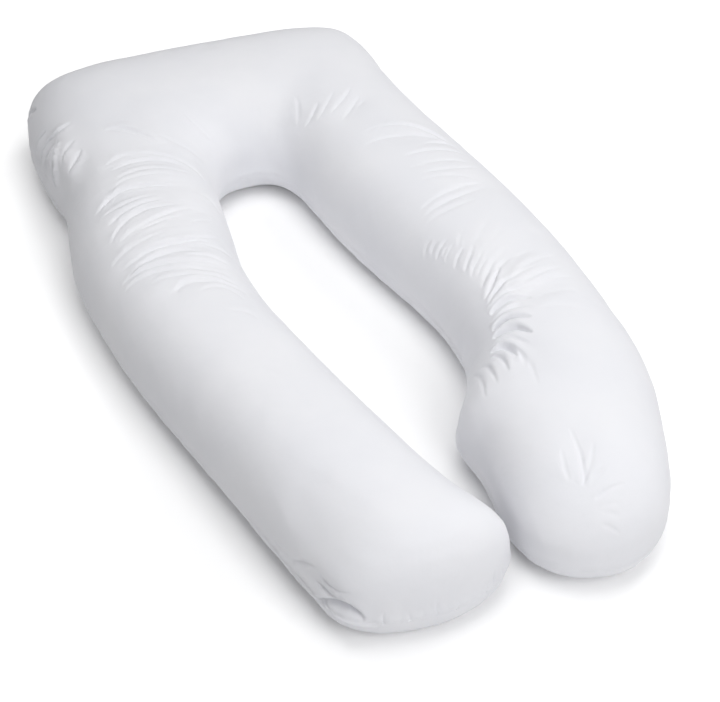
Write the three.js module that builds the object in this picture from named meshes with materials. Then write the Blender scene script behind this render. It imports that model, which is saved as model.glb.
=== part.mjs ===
// A U-shaped full-body pregnancy pillow, lying on a flat surface with both arms spread and bent as it is used.
// Two U-shaped cloth panels are sewn together round their edge and filled, so the body is one filled solid.
// Units are millimetres. +Y points to the head end, +X to the right arm and +Z up from the surface.
import * as THREE from "three";

// Driving dimensions
const seamHeight = 54; // the edge seam lies well below half the height
const seamDepth = 4; // how far the stitched edge is drawn into the side
const seamStrip = 0.997; // where the side starts to turn in to the stitched edge, as a part of the half width
const topFullness = 2.45; // 2 is a half ellipse, more is fuller
const undersideFullness = 2.6;
const undersideFlat = 1.3; // over 1, the underside is pressed flat in the middle
const endFullness = 2.25; // how square the two arm ends are, seen from above
const leftEndLength = 102; // from the last rib of an arm to its end seam
const rightEndLength = 232;
const foldEnds = 0.35; // the part of a fold's depth that is left at its two ends
const foldFade = 1.3; // how fast a fold gets to its full depth from there

// Mesh density
const endSteps = 9;
const topColumns = 20;
const undersideColumns = 10;
const foldPieces = 8;

// One rib across the pillow in each row, from the outer edge seam to the inner one, with the height of its crown.
// The rows run from the left arm's end, up that arm, round the head end and down the right arm to its end. "steps" is
// the number of stations from a rib to the next one, closer together where there are folds.
const ribs = [
  { outX: -258, outY: -612, inX: 42, inY: -634, crown: 178, steps: 3 },
  { outX: -280, outY: -522, inX: 2, inY: -556, crown: 182, steps: 3 },
  { outX: -300, outY: -432, inX: -32, inY: -447, crown: 184, steps: 3 },
  { outX: -327, outY: -317, inX: -68, inY: -312, crown: 182, steps: 4 },
  { outX: -358, outY: -192, inX: -98, inY: -182, crown: 180, steps: 5 },
  { outX: -385, outY: -67, inX: -124, inY: -62, crown: 182, steps: 8 },
  { outX: -401, outY: 58, inX: -132, inY: 53, crown: 186, steps: 8 },
  { outX: -409, outY: 178, inX: -122, inY: 163, crown: 190, steps: 6 },
  { outX: -395, outY: 283, inX: -112, inY: 253, crown: 190, steps: 5 },
  { outX: -381, outY: 373, inX: -106, inY: 310, crown: 190, steps: 4 },
  { outX: -395, outY: 463, inX: -92, inY: 344, crown: 194, steps: 4 },
  { outX: -401, outY: 553, inX: -72, inY: 364, crown: 196, steps: 4 },
  { outX: -394, outY: 639, inX: -53, inY: 373, crown: 198, steps: 3 },
  { outX: -368, outY: 712, inX: -39, inY: 377, crown: 198, steps: 4 },
  { outX: -282, outY: 743, inX: -28, inY: 378, crown: 200, steps: 4 },
  { outX: -160, outY: 748, inX: -20, inY: 378, crown: 200, steps: 3 },
  { outX: -30, outY: 747, inX: -12, inY: 378, crown: 200, steps: 3 },
  { outX: 100, outY: 741, inX: -4, inY: 376, crown: 200, steps: 3 },
  { outX: 208, outY: 730, inX: 6, inY: 372, crown: 200, steps: 3 },
  { outX: 292, outY: 701, inX: 18, inY: 365, crown: 198, steps: 4 },
  { outX: 320, outY: 617, inX: 32, inY: 351, crown: 196, steps: 3 },
  { outX: 322, outY: 523, inX: 44, inY: 330, crown: 194, steps: 3 },
  { outX: 330, outY: 428, inX: 52, inY: 303, crown: 192, steps: 4 },
  { outX: 348, outY: 318, inX: 58, inY: 260, crown: 190, steps: 6 },
  { outX: 369, outY: 203, inX: 74, inY: 163, crown: 188, steps: 4 },
  { outX: 390, outY: 83, inX: 98, inY: 53, crown: 186, steps: 6 },
  { outX: 403, outY: -42, inX: 128, inY: -62, crown: 186, steps: 6 },
  { outX: 409, outY: -162, inX: 148, inY: -172, crown: 184, steps: 7 },
  { outX: 409, outY: -282, inX: 142, inY: -278, crown: 184, steps: 7 },
  { outX: 404, outY: -392, inX: 106, inY: -352, crown: 186, steps: 5 },
  { outX: 385, outY: -482, inX: 60, inY: -422, crown: 186, steps: 5 },
  { outX: 357, outY: -555, inX: 66, inY: -472, crown: 182, steps: 0 },
];

// The largest folds of the top panel, each a soft trough along a bowed line through three points seen from above:
// the crosswise folds of the left arm, the pucker at the head's left corner, the folds of the right arm and of its
// bend, and the shallow valley down the left arm's end.
const folds = [
  { fromX: -305, fromY: 305, midX: -252, midY: 315, toX: -170, toY: 285, depth: 5, width: 14 },
  { fromX: -348, fromY: 212, midX: -285, midY: 230, toX: -195, toY: 220, depth: 8, width: 14 },
  { fromX: -340, fromY: 146, midX: -272, midY: 172, toX: -215, toY: 190, depth: 6, width: 13 },
  { fromX: -330, fromY: 110, midX: -260, midY: 124, toX: -175, toY: 162, depth: 5, width: 12 },
  { fromX: -362, fromY: 42, midX: -298, midY: 53, toX: -200, toY: 56, depth: 8, width: 14 },
  { fromX: -350, fromY: 4, midX: -276, midY: 7, toX: -175, toY: -17, depth: 6, width: 13 },
  { fromX: -296, fromY: -57, midX: -237, midY: -36, toX: -174, toY: -77, depth: 5, width: 14 },
  { fromX: -385, fromY: 478, midX: -365, midY: 468, toX: -345, toY: 460, depth: 6, width: 12 },
  { fromX: 145, fromY: 302, midX: 165, midY: 330, toX: 204, toY: 368, depth: 5, width: 13 },
  { fromX: 180, fromY: 223, midX: 225, midY: 220, toX: 310, toY: 183, depth: 6, width: 14 },
  { fromX: 213, fromY: 10, midX: 252, midY: 23, toX: 310, toY: 40, depth: 5, width: 13 },
  { fromX: 214, fromY: -189, midX: 242, midY: -174, toX: 280, toY: -159, depth: 6, width: 18 },
  { fromX: 225, fromY: -268, midX: 260, midY: -264, toX: 320, toY: -247, depth: 6, width: 18 },
  { fromX: 188, fromY: -345, midX: 190, midY: -397, toX: 180, toY: -447, depth: 6, width: 18 },
  { fromX: 158, fromY: -650, midX: 172, midY: -614, toX: 184, toY: -572, depth: 5, width: 14 },
  { fromX: -230, fromY: -507, midX: -201, midY: -612, toX: -175, toY: -700, depth: 6, width: 30 },
];

const outerSeam = new THREE.CatmullRomCurve3(
  ribs.map((r) => new THREE.Vector3(r.outX, r.outY, r.crown)), false, "centripetal");
const innerSeam = new THREE.CatmullRomCurve3(
  ribs.map((r) => new THREE.Vector3(r.inX, r.inY, r.crown)), false, "centripetal");

const foldLines = folds.map((f) => ({
  depth: f.depth,
  width: f.width,
  points: new THREE.QuadraticBezierCurve(
    new THREE.Vector2(f.fromX, f.fromY),
    new THREE.Vector2(2 * f.midX - (f.fromX + f.toX) / 2, 2 * f.midY - (f.fromY + f.toY) / 2),
    new THREE.Vector2(f.toX, f.toY)).getPoints(foldPieces),
}));

// How far the folds lower the top panel at a place seen from above.
function foldDepth(x, y) {
  const place = new THREE.Vector2(x, y);
  const depths = foldLines.map(({ depth, width, points }) => {
    let nearest = Infinity;
    let along = 0;
    for (let i = 0; i + 1 < points.length; i++) {
      const piece = points[i + 1].clone().sub(points[i]);
      const part = THREE.MathUtils.clamp(place.clone().sub(points[i]).dot(piece) / piece.lengthSq(), 0, 1);
      const distance = place.distanceTo(piece.multiplyScalar(part).add(points[i]));
      if (distance < nearest) [nearest, along] = [distance, (i + part) / (points.length - 1)];
    }
    const fade = Math.min(1, foldEnds + foldFade * Math.sin(Math.PI * along));
    return depth * fade * Math.exp(-((nearest / width) ** 2));
  });
  return Math.max(...depths);
}

// The stations along the pillow: "at" is the place between the first and the last rib, 0 to 1, and "end" is 0 along
// the arms and grows to 1 at an arm's end seam, in ever smaller steps.
function stations() {
  const ends = [1, seamStrip];
  for (let i = 1; i < endSteps; i++) ends.push(Math.cos((Math.PI / 2) * (i / endSteps)));
  const list = ends.map((end) => ({ at: 0, end }));
  ribs.slice(0, -1).forEach((rib, row) => {
    for (let i = 0; i < rib.steps; i++) list.push({ at: (row + i / rib.steps) / (ribs.length - 1), end: 0 });
  });
  list.push({ at: 1, end: 0 }, ...ends.reverse().map((end) => ({ at: 1, end })));
  return list;
}

// The places of a panel's points across a rib, -1 at the outer seam and 1 at the inner one.
function acrossPlaces(columns) {
  const middle = Array.from({ length: columns - 1 }, (_, i) => -Math.cos((Math.PI * (i + 1)) / columns));
  return [-1, -seamStrip, ...middle, seamStrip, 1];
}

// A point of the panels' plan. "reach" is how near the point is to the edge seam, 0 in the middle and 1 on the seam.
function planPoint({ at, end }, across) {
  const out = outerSeam.getPoint(at);
  const into = innerSeam.getPoint(at);
  const middle = out.clone().add(into).multiplyScalar(0.5);
  const half = into.clone().sub(out).multiplyScalar(0.5);
  // A square is bent to a disc and the disc filled out to a rounded square, so that the end has no pole.
  let sideways = across * Math.sqrt(1 - (end * end) / 2);
  let onwards = end * Math.sqrt(1 - (across * across) / 2);
  const reach = end === 0 ? Math.abs(across) : Math.min(1, Math.hypot(sideways, onwards));
  if (onwards > 0) {
    const c = Math.abs(sideways) / reach;
    const s = onwards / reach;
    const fill = 1 / Math.pow(c ** endFullness + s ** endFullness, 1 / endFullness);
    sideways *= fill;
    onwards *= fill;
  }
  const nearSeam = Math.max(0, 1 - (1 - reach) / (1 - seamStrip));
  const drawnIn = 1 - (nearSeam * seamDepth) / half.length();
  const way = at === 0 ? -1 : 1;
  const forward = new THREE.Vector3(half.y, -half.x, 0).normalize().multiplyScalar(-way);
  // The sides leave the last rib along their own seams and turn to the end's own direction further on.
  const along = outerSeam.getTangent(at).lerp(innerSeam.getTangent(at), (1 + sideways) / 2).multiplyScalar(way);
  const turned = forward.lerp(along, (1 - onwards) ** 2);
  const length = onwards * (at === 0 ? leftEndLength : rightEndLength);
  return {
    x: middle.x + (half.x * sideways + turned.x * length) * drawnIn,
    y: middle.y + (half.y * sideways + turned.y * length) * drawnIn,
    crown: middle.z,
    reach,
  };
}

const rounding = (reach, fullness) => Math.pow(Math.max(0, 1 - reach ** fullness), 1 / fullness);

function topPoint(station, across) {
  const p = planPoint(station, across);
  const rise = rounding(p.reach, topFullness);
  return new THREE.Vector3(p.x, p.y, seamHeight + (p.crown - seamHeight) * rise - foldDepth(p.x, p.y) * rise);
}

function undersidePoint(station, across) {
  const p = planPoint(station, across);
  const drop = Math.min(1, undersideFlat * rounding(p.reach, undersideFullness));
  return new THREE.Vector3(p.x, p.y, seamHeight * (1 - drop));
}

// Triangles between two neighbouring rows of points, each point with its index and its place across the rib.
function joinRows(one, two) {
  const triangles = [];
  let i = 0;
  let j = 0;
  while (i + 1 < one.length || j + 1 < two.length) {
    const stepOne = j + 1 === two.length || (i + 1 < one.length && one[i + 1].across <= two[j + 1].across);
    const next = stepOne ? one[i + 1] : two[j + 1];
    triangles.push([one[i].index, next.index, two[j].index]);
    if (stepOne) i += 1;
    else j += 1;
  }
  return triangles;
}

// Joins the two panels, which share the points of the edge seam, into one closed shell.
function filledPillow() {
  const places = stations();
  const positions = [];
  const indices = [];
  const seamPoints = new Map();
  const addPanel = (columns, pointAt, isTop) => {
    const rows = places.map((station, i) =>
      acrossPlaces(station.end === 1 ? topColumns : columns).map((across) => {
        const key = `${i}:${across.toFixed(6)}`;
        const onSeam = station.end === 1 || Math.abs(across) === 1;
        if (onSeam && seamPoints.has(key)) return { across, index: seamPoints.get(key) };
        const index = positions.length / 3;
        positions.push(...pointAt(station, across).toArray());
        if (onSeam) seamPoints.set(key, index);
        return { across, index };
      }),
    );
    for (let i = 0; i + 1 < rows.length; i++)
      for (const [a, b, c] of joinRows(rows[i], rows[i + 1])) indices.push(...(isTop ? [a, b, c] : [a, c, b]));
  };
  addPanel(topColumns, topPoint, true);
  addPanel(undersideColumns, undersidePoint, false);
  return { positions, indices };
}

const { positions, indices } = filledPillow();
const geometry = new THREE.BufferGeometry();
geometry.setAttribute("position", new THREE.Float32BufferAttribute(positions, 3));
geometry.setIndex(indices);
// The origin lies on the surface, under the middle of the outline.
geometry.computeBoundingBox();
const box = geometry.boundingBox;
geometry.translate(-(box.min.x + box.max.x) / 2, -(box.min.y + box.max.y) / 2, -box.min.z);
geometry.computeVertexNormals();

const cloth = new THREE.MeshStandardMaterial({ color: 0xf1f1f5, roughness: 0.9, metalness: 0 });
const pillow = new THREE.Mesh(geometry, cloth);
pillow.name = "pillow";

const root = new THREE.Group();
root.add(pillow);
export default root;
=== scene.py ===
"""The looks of a filled U-shaped body pillow: its simulated cover with its folds, its seam and its cotton."""
import math
from collections import namedtuple
from random import Random

import bmesh
import bpy
import numpy as np
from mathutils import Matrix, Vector, noise
from mathutils.bvhtree import BVHTree


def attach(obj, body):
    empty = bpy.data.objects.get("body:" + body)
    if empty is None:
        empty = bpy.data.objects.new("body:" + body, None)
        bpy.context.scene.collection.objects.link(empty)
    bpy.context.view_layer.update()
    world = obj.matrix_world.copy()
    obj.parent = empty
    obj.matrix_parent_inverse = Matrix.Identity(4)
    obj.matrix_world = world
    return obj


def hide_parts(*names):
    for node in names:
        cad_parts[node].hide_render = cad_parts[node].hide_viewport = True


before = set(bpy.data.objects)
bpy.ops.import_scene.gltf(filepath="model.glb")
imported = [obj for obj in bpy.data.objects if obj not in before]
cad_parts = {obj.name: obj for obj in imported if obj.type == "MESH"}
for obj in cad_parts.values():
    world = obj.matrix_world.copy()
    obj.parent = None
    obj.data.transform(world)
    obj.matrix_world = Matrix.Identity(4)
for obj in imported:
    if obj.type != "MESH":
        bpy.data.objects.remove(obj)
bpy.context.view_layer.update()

MM = 0.001
SCENE = bpy.context.scene

# The camera, as the photograph was taken: where it aims and how far off it is, in metres, its turn and its
# height in degrees, and its lens and its sensor in millimetres
AIM = Vector((-0.015, -0.196, 0.08))
DISTANCE = 2.62
AZIMUTH = -21
ELEVATION = 42
LENS = 79.0
SENSOR = 36

# The studio's lights: how far each hangs to the right of the place that they light, away from the camera and
# above that place, and its width, in metres, and its power
LIT = Vector((-0.015, -0.05, 0.08))
Light = namedtuple("Light", "name right away up size watts")
LIGHTS = [
    Light("top", right=0, away=0, up=3.2, size=2.5, watts=57),
    Light("front_right", right=1.6, away=-2.2, up=2.2, size=2, watts=47),
    Light("back_right", right=1.8, away=2, up=2.2, size=2, watts=30),
    Light("front_left", right=-1.8, away=-2, up=2.2, size=2, watts=10),
]
# How strongly the white surround lights the pillow
SURROUND = 0.16

# The floor, and a rounded oblong on it that goes round the pillow: its half width and half length in metres,
# and the power that rounds it
FLOOR_SIZE = 12
OBLONG_WIDE = 0.42
OBLONG_LONG = 0.78
ROUNDNESS = 4

# Painted light: how brightly the floor shines for the camera alone, by how far out it is, brighter away from
# the pillow so that the pillow's shadow reaches less far. 1 is on the oblong, and nothing changes beyond the
# farthest
FARTHEST = 10
Glow = namedtuple("Glow", "out strength")
PAINTED_FLOOR_GLOW = [
    Glow(out=0.8, strength=0.03),
    Glow(out=1.0, strength=0.12),
    Glow(out=1.15, strength=0.3),
    Glow(out=1.5, strength=0.5),
    Glow(out=3.0, strength=1.0),
]

# The cover's mesh: its seam's height, its squares' size, and the height up to which it lies pressed flat
SEAM_HEIGHT = 54 * MM
VOXEL = 16 * MM
PRESSED = 6 * MM

# The cotton's white, which is a little darker and lighter in soft patches
DARKER_WHITE = (0.765, 0.770, 0.805)
LIGHTER_WHITE = (0.800, 0.802, 0.830)

# Its fine wrinkles: how close they lie on each axis, and the part of the left arm that has them, along an
# axis in metres from where there are none to where they are full
WRINKLE_SCALE = (9, 80, 9)
Fade = namedtuple("Fade", "axis none full")
WRINKLED = [
    Fade("Y", none=-0.14, full=-0.04),
    Fade("Y", none=0.42, full=0.32),
    Fade("X", none=-0.11, full=-0.17),
]

# The cover's filling by cloth simulation: its frames and its pressure, the share of its length that the cloth
# loses along the seam, how far off the seam it loses some, and the least part of that share that counts
SIM_FRAMES = 20
PRESSURE = 4
SEAM_DRAW = 0.08
SEAM_REACH = 12 * MM
LEAST_DRAW = 0.02

# A point's move into a crease counts up to this length, and this share of it is kept.
MOST_MOVE = 4 * MM
CREASE_GAIN = 0.35

# How often a move is evened out over the mesh to leave the creases out of it: the growth, and the lost form
EVEN_ROUNDS = 60
FORM_ROUNDS = 20

# The arms' tips stand farther apart while the even mesh is made, so that it doesn't join them over the gap.
# The gap's middle goes through this place, and to the left by this share of the way towards the head end.
TIP_GAP = Vector((52 * MM, -650 * MM))
GAP_LEAN = 0.27
APART = 16 * MM
APART_REACH = 150 * MM

# One fold of the cover: three points that it runs through in millimetres of the frame, seen from above, or
# with their heights where it lies on a side. Its depth, its half width, and how far the cloth stands up
# beside it, on the left of the way that it runs, or on the right where the number is negative, are in
# millimetres too. A depth below zero makes a ridge. The last number is how far along it is deepest, 0 to 1.
Fold = namedtuple("Fold", "start middle end depth width lip deepest", defaults=(0.5,))

# Across the left arm, from the head end down
ARM_FOLDS = [
    Fold((-303, 326), (-249, 332), (-176, 303), depth=1.6, width=4, lip=1.8),
    Fold((-298, 302), (-240, 312), (-164, 283), depth=1.4, width=4, lip=1.4),
    Fold((-295, 269), (-243, 281), (-162, 259), depth=1.6, width=4, lip=1.6),
    Fold((-352, 206), (-291, 237), (-205, 221), depth=2.4, width=4, lip=3.2),
    Fold((-350, 186), (-301, 198), (-240, 204), depth=1.6, width=4, lip=1.0),
    Fold((-345, 156), (-294, 180), (-236, 188), depth=1.6, width=4, lip=1.2),
    Fold((-348, 114), (-295, 160), (-225, 164), depth=2.0, width=4, lip=2.0),
    Fold((-336, 106), (-275, 131), (-196, 156), depth=2.2, width=5, lip=2.2),
    Fold((-362, 65), (-320, 81), (-258, 96), depth=1.6, width=4, lip=1.4),
    Fold((-348, 44), (-263, 65), (-190, 58), depth=2.0, width=4, lip=2.4),
    Fold((-345, 22), (-282, 42), (-198, 28), depth=1.8, width=4, lip=1.4),
    Fold((-357, 14), (-298, 20), (-195, 0), depth=1.8, width=4, lip=1.6),
    Fold((-357, -2), (-285, 3), (-186, -32), depth=1.5, width=4, lip=1.3),
    Fold((-320, -20), (-242, -24), (-176, -64), depth=1.4, width=4, lip=1.4),
    Fold((-296, -62), (-235, -43), (-170, -86), depth=1.2, width=5, lip=1.2),
]

# Broad soft forms of the filling: a hollow down the left arm's end and a deeper one at its outer corner, then
# a swell on the head end's left side
BROAD_FOLDS = [
    Fold((-252, -509), (-230, -619), (-214, -690), depth=4, width=30, lip=0),
    Fold((-264, -585, 78), (-244, -652, 84), (-214, -702, 84), depth=7, width=19, lip=0),
    Fold((-350, 500), (-357, 423), (-358, 330), depth=-9, width=26, lip=0),
]

# Round the bend of the right arm, outwards from its inner side, from the far end round to the near one
BEND_FOLDS = [
    Fold((150, -76), (159, -62), (173, -56), depth=1.2, width=3, lip=1.0),
    Fold((163, -97), (174, -85), (191, -76), depth=1.4, width=3, lip=1.2),
    Fold((172, -116), (181, -103), (196, -93), depth=1.0, width=3, lip=0.8),
    Fold((178, -137), (190, -123), (204, -110), depth=1.4, width=3, lip=1.0),
    Fold((188, -158), (201, -141), (221, -121), depth=1.8, width=4, lip=1.4),
    Fold((192, -177), (208, -157), (230, -140), depth=1.2, width=3, lip=0.9),
    Fold((195, -210), (215, -187), (237, -168), depth=1.4, width=4, lip=1.0),
    Fold((190, -235), (211, -215), (238, -186), depth=5.0, width=4, lip=2.2),
    Fold((190, -250), (215, -230), (244, -219), depth=4.0, width=4, lip=2.0),
    Fold((182, -262), (218, -249), (262, -248), depth=2.4, width=4, lip=1.8),
    Fold((184, -272), (216, -264), (252, -276), depth=8.0, width=5, lip=2.6, deepest=0.4),
    Fold((176, -291), (215, -286), (243, -303), depth=2.4, width=4, lip=1.4),
    Fold((172, -307), (200, -304), (230, -322), depth=11.0, width=5, lip=3.0, deepest=0.4),
    Fold((164, -324), (195, -328), (214, -358), depth=12.0, width=5, lip=3.2, deepest=0.45),
    Fold((156, -338), (184, -348), (201, -378), depth=2.2, width=4, lip=1.2),
    Fold((148, -350), (168, -362), (172, -396), depth=10.0, width=5, lip=2.8, deepest=0.45),
    Fold((142, -366), (152, -380), (146, -418), depth=4.2, width=4, lip=2.0),
    Fold((134, -368, 131), (135, -389, 147), (127, -433, 153), depth=1.6, width=4, lip=1.1),
    Fold((125, -362, 112), (121, -398, 134), (110, -441, 139), depth=1.3, width=4, lip=0.9),
]

OTHER_FOLDS = [
    # The left arm's inner side and shorter ones between
    Fold((-281, 422), (-240, 405), (-200, 352), depth=2.0, width=5, lip=2.6),
    Fold((-166, 203), (-146, 197), (-137, 172), depth=1.2, width=4, lip=0.9),
    Fold((-202, 50), (-178, 44), (-158, 30), depth=1.2, width=4, lip=1.0),
    Fold((-184, 305), (-155, 287), (-138, 255), depth=1.0, width=4, lip=0.8),
    Fold((-305, 117), (-259, 126), (-218, 133), depth=1.2, width=3, lip=0.8),
    Fold((-257, 60), (-213, 67), (-164, 82), depth=1.4, width=4, lip=1.2),
    Fold((-245, 26), (-209, 20), (-173, -2), depth=1.2, width=4, lip=1.0),
    Fold((-206, 113), (-186, 122), (-169, 128), depth=0.9, width=4, lip=0.7),
    Fold((-287, -69), (-261, -39), (-218, -56), depth=0.9, width=4, lip=0.6),
    Fold((-247, -74), (-208, -67), (-180, -109), depth=1.0, width=4, lip=0.9),
    Fold((-221, -130), (-191, -141), (-175, -167), depth=0.9, width=5, lip=0.8),
    # The head end's left corner, up the outer side
    Fold((-396, 520, 76), (-388, 531, 116), (-370, 524, 147), depth=7.0, width=4, lip=-6.0),
    Fold((-395, 496, 80), (-385, 499, 120), (-366, 490, 151), depth=4.0, width=3.5, lip=-5.0),
    Fold((-393, 466, 78), (-383, 472, 119), (-364, 468, 149), depth=8.0, width=4, lip=-7.0),
    Fold((-386, 420, 92), (-375, 441, 131), (-357, 460, 157), depth=10.0, width=5, lip=-9.0),
    Fold((-370, 404, 132), (-351, 423, 160), (-333, 432, 174), depth=2.0, width=4, lip=-1.2),
    Fold((-360, 374, 142), (-344, 388, 162), (-330, 402, 174), depth=3.6, width=4, lip=-2.4),
    Fold((-376, 499, 138), (-357, 486, 160), (-328, 485, 179), depth=3.4, width=4, lip=2.8),
    # The nick in the head end's outline
    Fold((-388, 664, 92), (-379, 647, 113), (-370, 614, 139), depth=8.0, width=5, lip=-2.0),
    # Broad ones farther out round the right arm's bend
    Fold((225, -215), (263, -188), (302, -168), depth=0.8, width=5, lip=0.8),
    Fold((233, -230), (281, -204), (341, -189), depth=1.0, width=5, lip=0.9),
    Fold((234, -249), (286, -231), (344, -220), depth=1.0, width=5, lip=0.9),
    Fold((251, -261), (297, -247), (339, -251), depth=0.8, width=5, lip=0.8),
    Fold((253, -286), (296, -279), (334, -291), depth=0.8, width=6, lip=0.7),
    Fold((229, -191), (253, -178), (282, -170), depth=1.0, width=4, lip=0.8),
    Fold((249, -315), (284, -316), (327, -339), depth=0.6, width=6, lip=0.5),
    Fold((162, -350), (179, -380), (171, -427), depth=2.0, width=4, lip=1.4),
    Fold((172, -358), (182, -405), (170, -471), depth=1.4, width=4, lip=1.0),
    # The lower half of the right arm
    Fold((151, -661), (167, -628), (177, -567), depth=2.8, width=4, lip=1.0, deepest=0.3),
    Fold((136, -648), (142, -622), (149, -597), depth=1.2, width=4, lip=0.7, deepest=0.4),
    Fold((155, -659), (178, -635), (198, -603), depth=1.6, width=4, lip=0.8, deepest=0.4),
    Fold((162, -666), (179, -655), (196, -651), depth=1.2, width=4, lip=0.8),
    Fold((161, -687), (182, -681), (212, -679), depth=1.3, width=4, lip=0.8, deepest=0.35),
    Fold((165, -701), (176, -700), (194, -701), depth=0.7, width=4, lip=0.5),
    Fold((161, -703, 137), (173, -708, 135), (187, -716, 130), depth=0.8, width=4, lip=0.6),
    Fold((158, -717, 123), (169, -722, 120), (182, -731, 111), depth=1.0, width=4, lip=0.7),
    # Round the gap's head end
    Fold((168, 318), (189, 338), (206, 352), depth=0.8, width=3, lip=0.6),
    Fold((144, 306), (173, 336), (200, 364), depth=1.4, width=3.5, lip=1.0),
    Fold((131, 337), (163, 362), (194, 395), depth=2.0, width=3.5, lip=1.3),
    Fold((104, 338), (131, 361), (157, 392), depth=1.1, width=3, lip=0.8),
    Fold((82, 344), (103, 357), (122, 378), depth=1.8, width=3.5, lip=1.2),
    Fold((71, 359), (83, 382), (91, 419), depth=1.2, width=4.5, lip=0.9),
    Fold((-86, 380), (-112, 412), (-130, 446), depth=1.2, width=6, lip=0.8),
    Fold((-116, 330), (-160, 352), (-196, 382), depth=1.2, width=6, lip=0.8),
    # The upper half of the right arm
    Fold((158, 252), (248, 246), (308, 182), depth=2.2, width=4, lip=2.4, deepest=0.65),
    Fold((150, 218), (226, 221), (286, 198), depth=1.6, width=4, lip=1.2),
    Fold((245, 177), (288, 184), (318, 167), depth=1.2, width=3.5, lip=1.6),
    Fold((202, 154), (268, 158), (326, 142), depth=1.4, width=4, lip=1.4),
    Fold((200, 118), (266, 121), (314, 112), depth=1.3, width=4, lip=0.8),
    Fold((210, 101), (276, 94), (334, 96), depth=1.3, width=4, lip=0.8),
    Fold((206, 80), (262, 74), (302, 54), depth=0.9, width=4, lip=0.7),
    Fold((176, 10), (248, 34), (312, 40), depth=1.4, width=4, lip=1.2),
    Fold((172, -8), (240, 11), (302, 24), depth=1.6, width=4, lip=1.2),
    Fold((168, -24), (226, -14), (276, -7), depth=1.2, width=4, lip=0.8),
    # The left arm's end, down its outer corner
    Fold((-258, -632, 38), (-233, -681, 72), (-203, -706, 57), depth=14.0, width=6, lip=3.0, deepest=0.55),
    Fold((-256, -630, 76), (-250, -656, 77), (-227, -685, 87), depth=4.0, width=3.5, lip=-3.0),
    Fold((-248, -638, 99), (-242, -661, 93), (-219, -688, 103), depth=2.4, width=3, lip=-2.0),
    Fold((-268, -574, 68), (-260, -598, 87), (-250, -625, 103), depth=3.0, width=4, lip=-2.6),
    Fold((-241, -666, 42), (-219, -692, 48), (-188, -713, 43), depth=-6.0, width=6, lip=0),
    Fold((-280, -525, 71), (-274, -551, 70), (-268, -572, 77), depth=1.4, width=5, lip=-1.0),
    Fold((-271, -560, 43), (-264, -585, 46), (-258, -602, 35), depth=1.8, width=4, lip=-1.2),
]

# A fan of fine folds round a place seen from above: the first and the last way that they run in degrees, 0 to
# the right and 90 away; how far from the place the first and the last start and how long they are, in
# millimetres; how many they are, and the middle depth and half width of one
Fan = namedtuple("Fan", "x y first last inner_first inner_last length count depth width")

# Far out round the right arm's bend
BEND_FAN = Fan(
    60, -270, first=50, last=0, inner_first=205, inner_last=165, length=110, count=12, depth=0.7, width=3.5)

# Short upright pleats along a curved edge: the places in millimetres, seen from above, that the row of them
# runs through, the heights of their lower and upper ends, how many they are, and the middle depth and half
# width of one
Pleats = namedtuple("Pleats", "start middle end low high count depth width")

# Along the left arm's end
END_PLEATS = Pleats((-190, -712), (-85, -728), (20, -700), low=50, high=92, count=15, depth=1.3, width=3)

# A fold's cross-section: how far from its middle the cloth beside it stands highest and how wide that is, in
# its half widths, and how high the lower side is as a share of the higher one
LIP_OFF = 2.1
LIP_WIDTH = 1.5
LOWER_LIP = 0.4

# A fold's half width at its ends as a share of its full one, and how fast it gets shallower towards them
END_WIDTH = 0.6
SHALLOWING = 0.7

# How many half widths off a fold reaches. The mesh is halved within fewer of them, and once more nearer to a
# fold that is deeper than this in millimetres.
FOLD_REACH = 5
FIRST_HALVING = 3.0
SECOND_HALVING = 1.7
DEEP = 0.8

# The number that the random places and sizes of the finer folds come from
FOLD_SEED = 5

# Smooth unevenness: how high it is and the size over which it changes, in millimetres, and where it starts
Swell = namedtuple("Swell", "height size start")

# The filling's, which begins so far above the surface that the pillow lies on and is full so much higher up
FILLING_SWELLS = [
    Swell(height=0.9, size=130, start=0),
    Swell(height=0.3, size=40, start=7),
]
SWELLS_BEGIN = 2 * MM
SWELLS_GROW = 30 * MM

# How far a fold strays from its path
STRAY = Swell(height=1.6, size=30, start=3)

# How far the seam drifts up and down, and how far off the cloth drifts with it
SEAM_DRIFTS = [
    Swell(height=3, size=140, start=13),
    Swell(height=0.8, size=45, start=15),
]
DRIFT_REACH = 34 * MM

# The puckers beside the seam where it is gathered fully: creases, and swells among them. Off the seam they
# get lower over the reach and end at the last distance. Their pattern shifts with the way the cloth faces.
PUCKER_CREASES = Swell(height=2.4, size=17, start=5)
PUCKER_SWELLS = Swell(height=2.08, size=26, start=9)
CREASE_SHARPNESS = 3
PUCKER_SHIFT = 10 * MM
PUCKER_REACH = 26 * MM
PUCKER_END = 80 * MM

# Where the seam draws the most cloth together: a place seen from above, how far round it, and how strongly
Gather = namedtuple("Gather", "x y reach strength")
GATHERS = [
    Gather(-385, 600, reach=60, strength=1.0),
    Gather(-390, 470, reach=90, strength=0.5),
    Gather(-270, -600, reach=100, strength=0.9),
    Gather(-60, -735, reach=110, strength=0.15),
    Gather(230, -720, reach=120, strength=0.4),
    Gather(-30, 378, reach=120, strength=0.5),
    Gather(150, -210, reach=150, strength=0.5),
]

# How strongly it does elsewhere. All of it is taken times a share that changes along the seam: the middle
# share, how far it goes up and down, and the size over which it changes
LEAST_GATHER = 0.08
GATHER_SHARE = 0.75
GATHER_CHANGE = 0.5
GATHER_SIZE = 90 * MM

# The seam's edges lie this far above and below it, and a point this near to an edge moves onto it.
SEAM_EDGE = 2.6 * MM
EDGE_NEAR = 1.2 * MM

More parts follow.
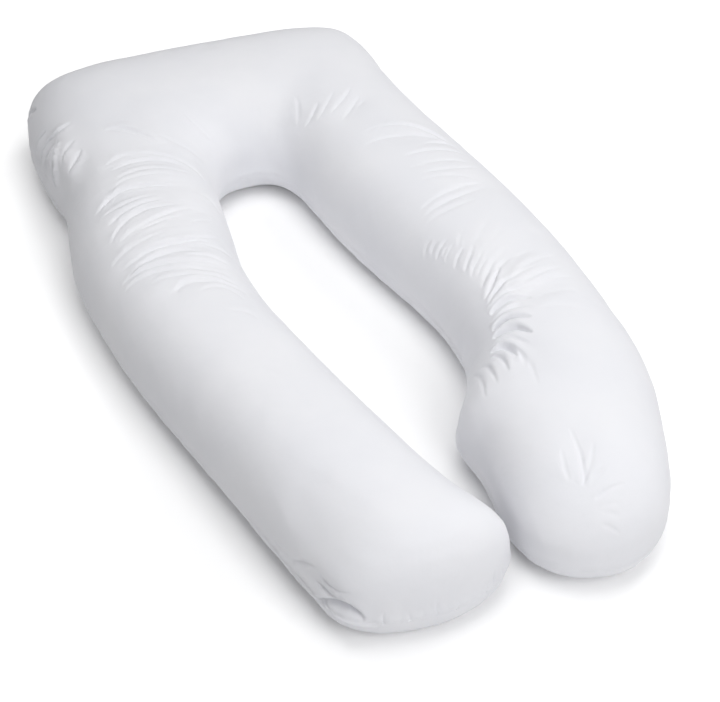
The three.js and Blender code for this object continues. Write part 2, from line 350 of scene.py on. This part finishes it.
# How far the cloth swells out round the seam, how deep the stitched line sinks in it, how much deeper where
# it is gathered fully, and how far off the seam each reaches
SEAM_SWELL = 3.0 * MM
SEAM_SWELL_REACH = 11 * MM
LINE_DEPTH = 0.6 * MM
GATHERED_DEPTH = 3.0 * MM
LINE_REACH = 1.8 * MM


def points_of(mesh):
    """The mesh's points, a row each."""
    flat = np.empty(len(mesh.vertices) * 3, np.float32)
    mesh.vertices.foreach_get("co", flat)
    return flat.reshape(-1, 3).astype(float)


def normals_of(mesh):
    """The way that the cloth faces at each point."""
    flat = np.empty(len(mesh.vertices) * 3, np.float32)
    mesh.vertex_normals.foreach_get("vector", flat)
    return flat.reshape(-1, 3).astype(float)


def put_points(mesh, points):
    """Moves the mesh's points to new places."""
    mesh.vertices.foreach_set("co", points.astype(np.float32).ravel())
    mesh.update()


def unevenness(points, size, start=0):
    """A smooth number from about -1 to 1 at each point, changing over about that size in metres."""
    offset = Vector((start, 2 * start, 3 * start))
    return np.array([noise.noise(Vector(p) / size + offset) for p in points])


def swell_at(points, swell):
    """How far a swell raises each point, in metres, or lowers it where the number is negative."""
    return swell.height * MM * unevenness(points, swell.size * MM, swell.start)


def bell(distance, width):
    """A number that falls smoothly from 1 at no distance to almost 0 at twice the width."""
    return np.exp(-((distance / width) ** 2))


def placed(name, data):
    """A new object in the scene."""
    piece = bpy.data.objects.new(name, data)
    SCENE.collection.objects.link(piece)
    return piece


def as_finished(piece):
    """Replaces a piece's mesh by what its modifiers make of it."""
    made = bpy.data.meshes.new_from_object(piece.evaluated_get(bpy.context.evaluated_depsgraph_get()))
    piece.modifiers.clear()
    piece.data = made
    return made


def closed_copy(name, node):
    """A copy of a CAD node as a piece of its own, with its loose triangles joined."""
    shell = bmesh.new()
    shell.from_mesh(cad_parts[node].data)
    bmesh.ops.remove_doubles(shell, verts=shell.verts, dist=0.01 * MM)
    mesh = bpy.data.meshes.new(name)
    shell.to_mesh(mesh)
    shell.free()
    return placed(name, mesh)


def tips_apart(points):
    """How far each point stands aside while the arms' tips are held apart."""
    aside = np.zeros_like(points)
    beyond = points[:, 1] - TIP_GAP.y
    middle = TIP_GAP.x - GAP_LEAN * beyond
    aside[:, 0] = np.sign(points[:, 0] - middle) * APART * bell(beyond, APART_REACH)
    return aside


def even_mesh(piece):
    """Gives the piece an even mesh of squares."""
    points = points_of(piece.data)
    put_points(piece.data, points + tips_apart(points))
    even = piece.modifiers.new("even_mesh", "REMESH")
    even.mode = "VOXEL"
    even.voxel_size = VOXEL
    mesh = as_finished(piece)
    points = points_of(mesh)
    put_points(mesh, points - tips_apart(points))


def evened(mesh, values, rounds):
    """Values at the mesh's points, each blended with the mean of its neighbours' that many times."""
    ends = np.empty(len(mesh.edges) * 2, np.int32)
    mesh.edges.foreach_get("vertices", ends)
    one, other = ends.reshape(-1, 2).T
    both = np.concatenate((one, other))
    count = np.bincount(both, minlength=len(values))[:, None]
    for _ in range(rounds):
        total = np.zeros_like(values)
        np.add.at(total, one, values[other])
        np.add.at(total, other, values[one])
        values = 0.5 * values + 0.5 * total / count
    return values


def surface_of(piece):
    """The piece's surface as it is now, to find the nearest place on it later."""
    shell = bmesh.new()
    shell.from_mesh(piece.data)
    surface = BVHTree.FromBMesh(shell)
    shell.free()
    return surface


def keep_form(piece, surface):
    """Moves the cover back out to a surface's form where smoothing has drawn it in. Its creases stay."""
    mesh = piece.data
    points = points_of(mesh)
    normals = normals_of(mesh)
    nearest = np.array([surface.find_nearest(Vector(p))[0] for p in points])
    lost = np.einsum("ij,ij->i", nearest - points, normals)[:, None]
    put_points(mesh, points + normals * evened(mesh, lost, FORM_ROUNDS))


def fill(piece):
    """Fills the cover by cloth simulation, gathered along its seam, and keeps the creases that come of it."""
    start = points_of(piece.data)
    held = piece.vertex_groups.new(name="held")
    held.add([int(i) for i in np.flatnonzero(start[:, 2] < PRESSED)], 1.0, "REPLACE")
    seam = piece.vertex_groups.new(name="seam")
    near_seam = bell(start[:, 2] - SEAM_HEIGHT, SEAM_REACH)
    for i in np.flatnonzero(near_seam > LEAST_DRAW):
        seam.add([int(i)], float(near_seam[i]), "REPLACE")
    cloth = piece.modifiers.new("filled", "CLOTH")
    cloth.settings.quality = 5
    cloth.settings.mass = 0.3
    cloth.settings.tension_stiffness = 15
    cloth.settings.compression_stiffness = 15
    cloth.settings.shear_stiffness = 5
    cloth.settings.bending_stiffness = 0.05
    cloth.settings.use_pressure = True
    cloth.settings.uniform_pressure_force = PRESSURE
    cloth.settings.vertex_group_mass = held.name
    cloth.settings.vertex_group_shrink = seam.name
    cloth.settings.shrink_min = 0
    cloth.settings.shrink_max = SEAM_DRAW
    cloth.settings.effector_weights.gravity = 0
    cloth.collision_settings.use_collision = False
    cloth.point_cache.frame_start = 1
    cloth.point_cache.frame_end = SIM_FRAMES
    for step in range(1, SIM_FRAMES + 1):
        SCENE.frame_set(step)
    mesh = as_finished(piece)
    piece.vertex_groups.clear()
    # The even part of the growth is left out, so that the pillow keeps its size.
    move = points_of(mesh) - start
    move -= evened(mesh, move, EVEN_ROUNDS)
    length = np.linalg.norm(move, axis=1, keepdims=True)
    counted = np.minimum(1, MOST_MOVE / np.maximum(length, 1e-9))
    put_points(mesh, start + move * CREASE_GAIN * counted)


def halve(piece, chosen):
    """Halves the edges that have both ends chosen, and the mesh's squares between them."""
    cover = bmesh.new()
    cover.from_mesh(piece.data)
    cover.verts.ensure_lookup_table()
    edges = [e for e in cover.edges if chosen[e.verts[0].index] and chosen[e.verts[1].index]]
    bmesh.ops.subdivide_edges(cover, edges=edges, cuts=1, use_grid_fill=True, smooth=1.0)
    cover.to_mesh(piece.data)
    cover.free()


def soften(piece, rounds):
    """Smooths the mesh's small unevenness away, apart from where it lies on the surface."""
    cover = bmesh.new()
    cover.from_mesh(piece.data)
    for _ in range(rounds):
        raised = [v for v in cover.verts if v.co.z > PRESSED]
        bmesh.ops.smooth_vert(
            cover, verts=raised, factor=0.5, use_axis_x=True, use_axis_y=True, use_axis_z=True)
    cover.to_mesh(piece.data)
    cover.free()


def between_folds(folds, shares, chance):
    """Finer folds between each two neighbouring ones, shorter and shallower, each in its own place."""
    finer = []
    for one, other in zip(folds[:-1], folds[1:]):
        for share in shares:
            share += chance.uniform(-0.12, 0.12)
            start, middle, end = (
                Vector(a[:2]).lerp(Vector(b[:2]), share) for a, b in zip(one[:3], other[:3]))
            cut = chance.uniform(0, 0.6)
            trim = chance.uniform(0, 0.6)
            depth = chance.uniform(0.4, 1.0)
            finer.append(Fold(
                start.lerp(middle, cut), middle + Vector((0, chance.uniform(-3, 3))), end.lerp(middle, trim),
                depth=depth, width=chance.uniform(2.6, 3.6), lip=0.8 * depth))
    return finer


def fan_folds(fan, chance):
    """The folds of a fan, each a little different from the next."""
    folds = []
    centre = Vector((fan.x, fan.y))
    for i in range(fan.count):
        share = (i + chance.uniform(0.1, 0.9)) / fan.count
        turn = math.radians(fan.first + (fan.last - fan.first) * share)
        out = Vector((math.cos(turn), math.sin(turn)))
        across = Vector((-out.y, out.x))
        inner = fan.inner_first + (fan.inner_last - fan.inner_first) * share + chance.uniform(-8, 8)
        length = fan.length * chance.uniform(0.45, 1.2)
        middle = centre + out * (inner + length / 2) + across * length * chance.uniform(-0.08, 0.08)
        depth = fan.depth * chance.uniform(0.5, 1.3)
        folds.append(Fold(
            centre + out * inner, middle, centre + out * (inner + length), depth=depth,
            width=fan.width * chance.uniform(0.75, 1.25), lip=0.7 * depth, deepest=0.45))
    return folds


def pleat_folds(row, chance):
    """A row of short upright folds, each a little different from the next."""
    folds = []
    for i in range(row.count):
        place = on_arc(row.start, row.middle, row.end, (i + chance.uniform(0.1, 0.9)) / row.count)
        high = row.high * chance.uniform(0.75, 1.1)
        lean = chance.uniform(-6, 6)
        depth = row.depth * chance.uniform(0.3, 1.5)
        top = (place.x + lean, place.y, high)
        middle = (place.x, place.y, (row.low + high) / 2)
        bottom = (place.x, place.y, row.low)
        folds.append(Fold(
            top, middle, bottom, depth=depth,
            width=row.width * chance.uniform(0.8, 1.2), lip=0.7 * depth, deepest=0.65))
    return folds


def all_folds():
    """The folds that are listed, and the finer ones round them."""
    chance = Random(FOLD_SEED)
    folds = ARM_FOLDS + BEND_FOLDS + OTHER_FOLDS
    folds += between_folds(ARM_FOLDS, (0.33, 0.67), chance)
    folds += between_folds(BEND_FOLDS, (0.5,), chance)
    folds += fan_folds(BEND_FAN, chance)
    folds += pleat_folds(END_PLEATS, chance)
    return folds


def on_arc(start, middle, end, share):
    """The place that far along an even curve through three places."""
    start, middle, end = Vector(start).to_3d(), Vector(middle).to_3d(), Vector(end).to_3d()
    bow = 2 * middle - (start + end) / 2
    return start * (1 - share) ** 2 + bow * 2 * share * (1 - share) + end * share ** 2


def path_on(piece, fold, pieces=12):
    """Points along a fold on the cover: right below it, or nearest to it where its heights are given."""
    above = 1.0
    path = []
    for i in range(pieces + 1):
        place = on_arc(fold.start, fold.middle, fold.end, i / pieces) * MM
        if len(fold.start) == 2:
            found, hit, _, _ = piece.ray_cast(Vector((place.x, place.y, above)), Vector((0, 0, -1)))
        else:
            found, hit, _, _ = piece.closest_point_on_mesh(place)
        if found:
            path.append(hit.copy())
    return np.array(path)


def near_path(points, path):
    """For each point: how far off a path it is, the step from the path to it, the way that the path runs
    there, and how far along the path that is, from 0 to 1."""
    near = np.full(len(points), np.inf)
    off = np.zeros_like(points)
    way = np.zeros_like(points)
    along = np.zeros(len(points))
    for i, (a, b) in enumerate(zip(path[:-1], path[1:])):
        part = np.clip((points - a) @ (b - a) / ((b - a) @ (b - a)), 0, 1)
        here = points - (a + part[:, None] * (b - a))
        distance = np.linalg.norm(here, axis=1)
        nearer = distance < near
        near[nearer] = distance[nearer]
        off[nearer] = here[nearer]
        way[nearer] = b - a
        along[nearer] = ((i + part) / (len(path) - 1))[nearer]
    return near, off, way, along


def within(points, path, reach):
    """Which points lie in the box round a path, with that much to spare."""
    return np.all((points > path.min(0) - reach) & (points < path.max(0) + reach), axis=1)


def fold_height(points, normals, path, fold, wobble):
    """How far a fold raises each point of the cover, or lowers it where the number is negative."""
    near, off, way, along = near_path(points, path)
    side = np.sign(np.einsum("ij,ij->i", np.cross(way, off), normals))
    across = near * side + wobble
    full = np.sin(np.pi * along ** (math.log(0.5) / math.log(fold.deepest)))
    width = fold.width * MM * (END_WIDTH + (1 - END_WIDTH) * full)
    lip_off = math.copysign(LIP_OFF, fold.lip) * width
    trough = -fold.depth * bell(across, width)
    higher = abs(fold.lip) * bell(across - lip_off, LIP_WIDTH * width)
    lower = LOWER_LIP * abs(fold.lip) * bell(across + lip_off, LIP_WIDTH * width)
    return (trough + higher + lower) * MM * full ** SHALLOWING


def halve_beside(piece, paths, widths):
    """Halves the mesh's squares that lie within so many half widths of a fold."""
    points = points_of(piece.data)
    beside = np.zeros(len(points), bool)
    for fold, path in paths:
        reach = widths * fold.width * MM
        close = within(points, path, reach)
        beside[close] |= near_path(points[close], path)[0] < reach
    halve(piece, beside)


def lay_folds(piece):
    """Sinks the folds into the cover, over the soft unevenness of its filling."""
    broad = [(fold, path_on(piece, fold)) for fold in BROAD_FOLDS]
    paths = [(fold, path_on(piece, fold)) for fold in all_folds()]
    deep_paths = [(fold, path) for fold, path in paths if abs(fold.depth) > DEEP]
    halve_beside(piece, paths, FIRST_HALVING)
    halve_beside(piece, deep_paths, SECOND_HALVING)
    soften(piece, 2)
    mesh = piece.data
    points = points_of(mesh)
    normals = normals_of(mesh)
    full = np.clip((points[:, 2] - SWELLS_BEGIN) / SWELLS_GROW, 0, 1)
    height = np.zeros(len(points))
    for swell in FILLING_SWELLS:
        height += swell_at(points, swell) * full
    wobble = swell_at(points, STRAY)
    for fold, path in broad + paths:
        close = within(points, path, FOLD_REACH * fold.width * MM)
        height[close] += fold_height(points[close], normals[close], path, fold, wobble[close])
    put_points(mesh, points + normals * height[:, None])


def cut_along_seam(piece):
    """Cuts the mesh along the seam and its two edges, so that the cloth can bend sharply there."""
    cover = bmesh.new()
    cover.from_mesh(piece.data)
    levels = (SEAM_HEIGHT - SEAM_EDGE, SEAM_HEIGHT, SEAM_HEIGHT + SEAM_EDGE)
    for vert in cover.verts:
        for level in levels:
            if abs(vert.co.z - level) < EDGE_NEAR:
                vert.co.z = level
    for level in levels:
        bmesh.ops.bisect_plane(
            cover, geom=cover.verts[:] + cover.edges[:] + cover.faces[:], dist=0.1 * MM,
            plane_co=(0, 0, level), plane_no=(0, 0, 1))
    cover.to_mesh(piece.data)
    cover.free()


def gather_at(plan):
    """How strongly the seam draws the cloth together at each point, which is seen from above."""
    gather = np.full(len(plan), LEAST_GATHER)
    for place in GATHERS:
        distance = np.hypot(plan[:, 0] - place.x * MM, plan[:, 1] - place.y * MM)
        gather = np.maximum(gather, place.strength * bell(distance, place.reach * MM))
    return gather * (GATHER_SHARE + GATHER_CHANGE * unevenness(plan, GATHER_SIZE, start=11))


def pucker_at(plan, facing, from_seam):
    """How far the puckers of a fully gathered seam move each point out, or in where it is negative."""
    near = np.abs(from_seam) < PUCKER_END
    shifted = plan[near] + facing[near] * PUCKER_SHIFT
    crease = 1 - np.abs(unevenness(shifted, PUCKER_CREASES.size * MM, PUCKER_CREASES.start))
    pucker = np.zeros(len(plan))
    pucker[near] = swell_at(shifted, PUCKER_SWELLS) - PUCKER_CREASES.height * MM * crease ** CREASE_SHARPNESS
    return pucker * bell(from_seam, PUCKER_REACH)


def cut_seam(piece):
    """Gathers the cloth along the seam and draws the stitched line in."""
    cut_along_seam(piece)
    mesh = piece.data
    points = points_of(mesh)
    facing = normals_of(mesh) * (1, 1, 0)
    outward = facing / np.maximum(np.linalg.norm(facing, axis=1, keepdims=True), 1e-6)
    from_seam = points[:, 2] - SEAM_HEIGHT
    plan = points * (1, 1, 0)
    gather = gather_at(plan)
    height = pucker_at(plan, facing, from_seam) * gather
    # The CAD's groove is wider than the sewn crease, so the cloth swells out in it.
    # Only the stitched line sinks.
    height += SEAM_SWELL * bell(from_seam, SEAM_SWELL_REACH)
    height -= (LINE_DEPTH + GATHERED_DEPTH * gather) * bell(from_seam, LINE_REACH)
    points += outward * height[:, None]
    drift = sum(swell_at(plan, swell) for swell in SEAM_DRIFTS)
    points[:, 2] += drift * bell(from_seam, DRIFT_REACH)
    points[:, 2] = np.maximum(points[:, 2], 0)
    put_points(mesh, points)


def number(tree, operation, *inputs):
    """A Math node of that operation. Each input is a number or another node's socket."""
    node = tree.nodes.new("ShaderNodeMath")
    node.operation = operation
    for socket, value in zip(node.inputs, inputs):
        if isinstance(value, bpy.types.NodeSocket):
            tree.links.new(value, socket)
        else:
            socket.default_value = value
    return node.outputs[0]


def separated(tree, vector):
    """The three numbers of a vector, by their axes."""
    node = tree.nodes.new("ShaderNodeSeparateXYZ")
    tree.links.new(vector, node.inputs["Vector"])
    return node.outputs


def clouds(tree, place, scale, detail, roughness=0.5, distortion=0.0):
    """Smooth noise from 0 to 1 at each place."""
    node = tree.nodes.new("ShaderNodeTexNoise")
    node.inputs["Scale"].default_value = scale
    node.inputs["Detail"].default_value = detail
    node.inputs["Roughness"].default_value = roughness
    node.inputs["Distortion"].default_value = distortion
    tree.links.new(place, node.inputs["Vector"])
    return node.outputs["Fac"]


def blended(tree, value, steps):
    """The colour that belongs to a value, blended between steps: each is a value and its colour."""
    node = tree.nodes.new("ShaderNodeValToRGB")
    stops = node.color_ramp.elements
    for position, colour in steps[1:-1]:
        stops.new(position).color = (*colour, 1)
    for end in (0, -1):
        position, colour = steps[end]
        stops[end].position = position
        stops[end].color = (*colour, 1)
    tree.links.new(value, node.inputs["Fac"])
    return node.outputs["Color"]


def bump(tree, height, strength, distance, under=None):
    """The way that the surface faces with a relief on it, over another relief where one is given."""
    node = tree.nodes.new("ShaderNodeBump")
    node.inputs["Strength"].default_value = strength
    node.inputs["Distance"].default_value = distance
    tree.links.new(height, node.inputs["Height"])
    if under:
        tree.links.new(under, node.inputs["Normal"])
    return node.outputs["Normal"]


def weave(tree, place):
    """The height of the threads, which cross each other whichever way the cloth faces."""
    threads = {}
    for axis in "XYZ":
        wave = tree.nodes.new("ShaderNodeTexWave")
        wave.wave_type = "BANDS"
        wave.bands_direction = axis
        wave.inputs["Scale"].default_value = 450
        wave.inputs["Distortion"].default_value = 0.6
        wave.inputs["Detail Scale"].default_value = 0.2
        tree.links.new(place, wave.inputs["Vector"])
        threads[axis] = wave.outputs["Fac"]
    facing = separated(tree, tree.nodes.new("ShaderNodeNewGeometry").outputs["Normal"])
    height = 0.0
    for axis, one, other in (("X", "Y", "Z"), ("Y", "X", "Z"), ("Z", "X", "Y")):
        crossing = number(tree, "MULTIPLY", threads[one], threads[other])
        share = number(tree, "ABSOLUTE", facing[axis])
        height = number(tree, "ADD", height, number(tree, "MULTIPLY", crossing, share))
    return height


def wrinkles(tree, place):
    """The height of the fine wrinkles across the left arm, between its folds."""
    scaled = tree.nodes.new("ShaderNodeMapping")
    scaled.inputs["Scale"].default_value = WRINKLE_SCALE
    tree.links.new(place, scaled.inputs["Vector"])
    height = clouds(tree, scaled.outputs["Vector"], scale=1, detail=2, distortion=0.3)
    spot = separated(tree, place)
    for fade in WRINKLED:
        share = tree.nodes.new("ShaderNodeMapRange")
        share.interpolation_type = "SMOOTHSTEP"
        share.inputs["From Min"].default_value = fade.none
        share.inputs["From Max"].default_value = fade.full
        tree.links.new(spot[fade.axis], share.inputs["Value"])
        height = number(tree, "MULTIPLY", height, share.outputs["Result"])
    return height


def cotton():
    """White, finely woven cotton with a soft sheen."""
    material = bpy.data.materials.new("white_cotton")
    material.use_nodes = True
    tree = material.node_tree
    shader = tree.nodes["Principled BSDF"]
    shader.inputs["Roughness"].default_value = 0.85
    shader.inputs["Specular IOR Level"].default_value = 0.25
    shader.inputs["Sheen Weight"].default_value = 0.2
    shader.inputs["Sheen Roughness"].default_value = 0.55
    place = tree.nodes.new("ShaderNodeTexCoord").outputs["Object"]

    patches = clouds(tree, place, scale=7, detail=4)
    colour = blended(tree, patches, [(0.3, DARKER_WHITE), (0.7, LIGHTER_WHITE)])
    tree.links.new(colour, shader.inputs["Base Color"])

    crumple = clouds(tree, place, scale=55, detail=3, roughness=0.45)
    woven = bump(tree, weave(tree, place), strength=0.25, distance=0.05 * MM)
    wrinkled = bump(tree, wrinkles(tree, place), strength=0.7, distance=1.2 * MM, under=woven)
    crumpled = bump(tree, crumple, strength=0.35, distance=1.2 * MM, under=wrinkled)
    tree.links.new(crumpled, shader.inputs["Normal"])
    return material


def filled_cover():
    """The pillow's cover over its filling, which stands for the CAD solid."""
    piece = closed_copy("filled_cover", "pillow")
    surface = surface_of(piece)
    even_mesh(piece)
    fill(piece)
    halve(piece, points_of(piece.data)[:, 2] > PRESSED)
    soften(piece, 3)
    keep_form(piece, surface)
    lay_folds(piece)
    cut_seam(piece)
    piece.data.polygons.foreach_set("use_smooth", [True] * len(piece.data.polygons))
    piece.data.materials.clear()
    piece.data.materials.append(cotton())
    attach(piece, "root")
    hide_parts("pillow")
    return piece


def painted_floor_glow(tree):
    """Painted light on the floor: how brightly each place of it shines for the camera alone."""
    place = separated(tree, tree.nodes.new("ShaderNodeTexCoord").outputs["Object"])
    total = 0.0
    for axis, half in (("X", OBLONG_WIDE), ("Y", OBLONG_LONG)):
        share = number(tree, "ABSOLUTE", number(tree, "DIVIDE", place[axis], half))
        total = number(tree, "ADD", total, number(tree, "POWER", share, ROUNDNESS))
    out = number(tree, "POWER", total, 1 / ROUNDNESS)
    steps = [(step.out / FARTHEST, (step.strength,) * 3) for step in PAINTED_FLOOR_GLOW]
    # Painted light: the floor's glow grows from dim round the pillow to full far out.
    glow = blended(tree, number(tree, "DIVIDE", out, FARTHEST), steps)
    seen = tree.nodes.new("ShaderNodeLightPath").outputs["Is Camera Ray"]
    return number(tree, "MULTIPLY", glow, seen)


def floor():
    """A pale floor that isn't part of the pillow, with painted light on it."""
    sheet = bmesh.new()
    bmesh.ops.create_grid(sheet, x_segments=1, y_segments=1, size=FLOOR_SIZE)
    mesh = bpy.data.meshes.new("floor")
    sheet.to_mesh(mesh)
    sheet.free()
    piece = placed("floor", mesh)
    paint = bpy.data.materials.new("pale_floor")
    paint.use_nodes = True
    tree = paint.node_tree
    shader = tree.nodes["Principled BSDF"]
    shader.inputs["Base Color"].default_value = (0.94, 0.94, 0.945, 1)
    shader.inputs["Roughness"].default_value = 0.9
    shader.inputs["Specular IOR Level"].default_value = 0.1
    shader.inputs["Emission Color"].default_value = (1, 1, 1, 1)
    # Painted light: the floor shines for the camera alone and more away from the pillow, so that outside the
    # pillow's shadow it looks white, but it lights the pillow no more than a pale floor does.
    tree.links.new(painted_floor_glow(tree), shader.inputs["Emission Strength"])
    mesh.materials.append(paint)


def soft_light(light):
    """A square studio light that shines at the pillow."""
    lamp = bpy.data.lights.new(light.name, "AREA")
    lamp.size = light.size
    lamp.energy = light.watts
    piece = placed(light.name, lamp)
    turn = math.radians(AZIMUTH)
    right = Vector((math.cos(turn), math.sin(turn), 0))
    away = Vector((-math.sin(turn), math.cos(turn), 0))
    piece.location = LIT + right * light.right + away * light.away + Vector((0, 0, light.up))
    piece.rotation_euler = (LIT - piece.location).to_track_quat("-Z", "Y").to_euler()


def studio():
    """Large soft lights above and in front, the right side brighter, in a faint white surround."""
    world = bpy.data.worlds.new("studio")
    world.use_nodes = True
    tree = world.node_tree
    surround = tree.nodes["Background"]
    surround.inputs["Color"].default_value = (1, 1, 1, 1)
    # The surround is white to look at, but lights the pillow only faintly.
    seen = tree.nodes.new("ShaderNodeLightPath").outputs["Is Camera Ray"]
    strength = number(tree, "MULTIPLY_ADD", seen, 1 - SURROUND, SURROUND)
    tree.links.new(strength, surround.inputs["Strength"])
    SCENE.world = world
    for light in LIGHTS:
        soft_light(light)
    SCENE.view_settings.view_transform = "Standard"


def camera():
    """The camera, where the photograph was taken from."""
    lens = bpy.data.cameras.new("camera")
    lens.lens = LENS
    lens.sensor_width = SENSOR
    piece = placed("camera", lens)
    azimuth = math.radians(AZIMUTH)
    elevation = math.radians(ELEVATION)
    back = Vector((
        math.sin(azimuth) * math.cos(elevation),
        -math.cos(azimuth) * math.cos(elevation),
        math.sin(elevation)))
    piece.location = AIM + back * DISTANCE
    piece.rotation_euler = (-back).to_track_quat("-Z", "Y").to_euler()
    SCENE.camera = piece


camera()
studio()
floor()
filled_cover()
